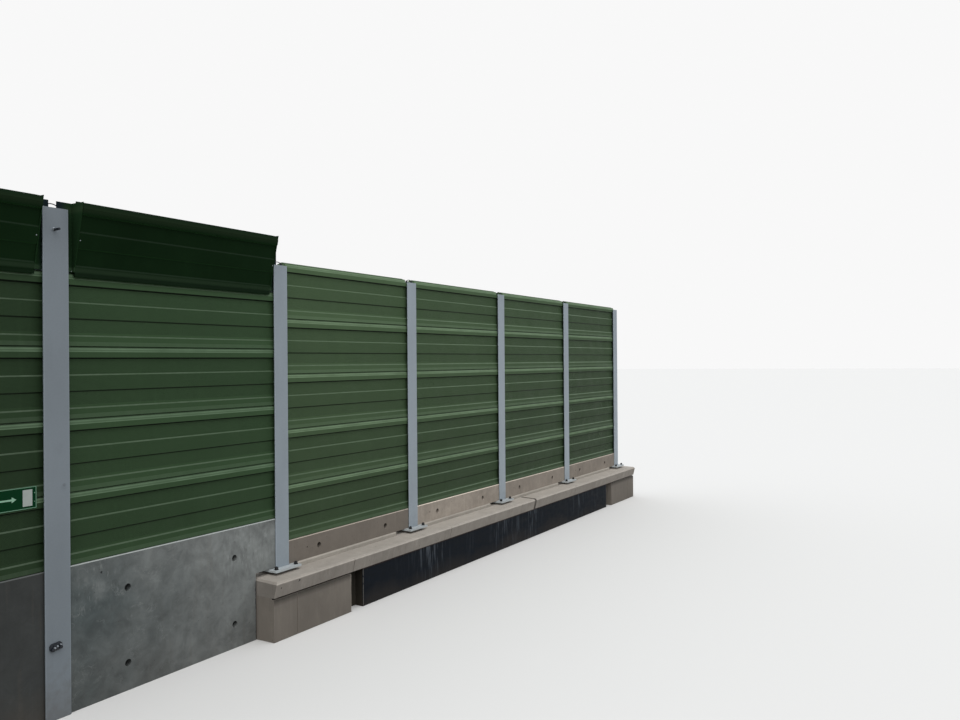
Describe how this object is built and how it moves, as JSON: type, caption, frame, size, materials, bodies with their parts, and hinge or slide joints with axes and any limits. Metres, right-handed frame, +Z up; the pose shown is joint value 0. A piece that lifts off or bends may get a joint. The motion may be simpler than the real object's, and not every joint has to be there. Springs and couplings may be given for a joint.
{
  "type": "noise barrier section",
  "caption": "Trackside noise barrier: ribbed absorbing metal cassettes stacked between H posts, on concrete plinth panels and a ledge, with leaning top cassettes over the ground bays.",
  "frame": {"origin": "centre of the foot of post_1, the middle one of the ground posts, at the lowest ground level", "axes": "+X runs along the barrier from the ground bays to the ledge bays, -Y faces the track, +Z is up"},
  "size_m": [12.59, 0.6, 3.4959],
  "materials": {
    "post_steel": "satin",
    "cassette_green": "satin",
    "top_green": "satin",
    "panel_concrete": "matte",
    "ledge_concrete": "matte",
    "wall_coating": "satin",
    "mortar": "matte",
    "lead_sheath": "satin",
    "sign_plate": "satin"
  },
  "bodies": {
    "root": {"post_0": "post_steel", "post_1": "post_steel", "post_2": "post_steel", "post_3": "post_steel", "post_4": "post_steel", "post_5": "post_steel", "post_6": "post_steel", "base_plate_2": "post_steel", "base_plate_3": "post_steel", "base_plate_4": "post_steel", "base_plate_5": "post_steel", "base_plate_6": "post_steel", "cassettes_0": "cassette_green", "cassettes_1": "cassette_green", "cassettes_2": "cassette_green", "cassettes_3": "cassette_green", "cassettes_4": "cassette_green", "cassettes_5": "cassette_green", "top_cassette_0": "top_green", "top_cassette_1": "top_green", "top_brackets_0": "top_green", "top_brackets_1": "top_green", "plinth_0": "panel_concrete", "plinth_1": "panel_concrete", "plinth_2": "panel_concrete", "plinth_3": "panel_concrete", "plinth_4": "panel_concrete", "plinth_5": "panel_concrete", "ledge": "ledge_concrete", "end_block_left": "ledge_concrete", "end_block_right": "ledge_concrete", "coated_wall": "wall_coating", "levelling_pads": "mortar", "bedding_strips": "mortar", "bonding_leads": "lead_sheath", "escape_sign": "sign_plate"}
  },
  "joints": []
}
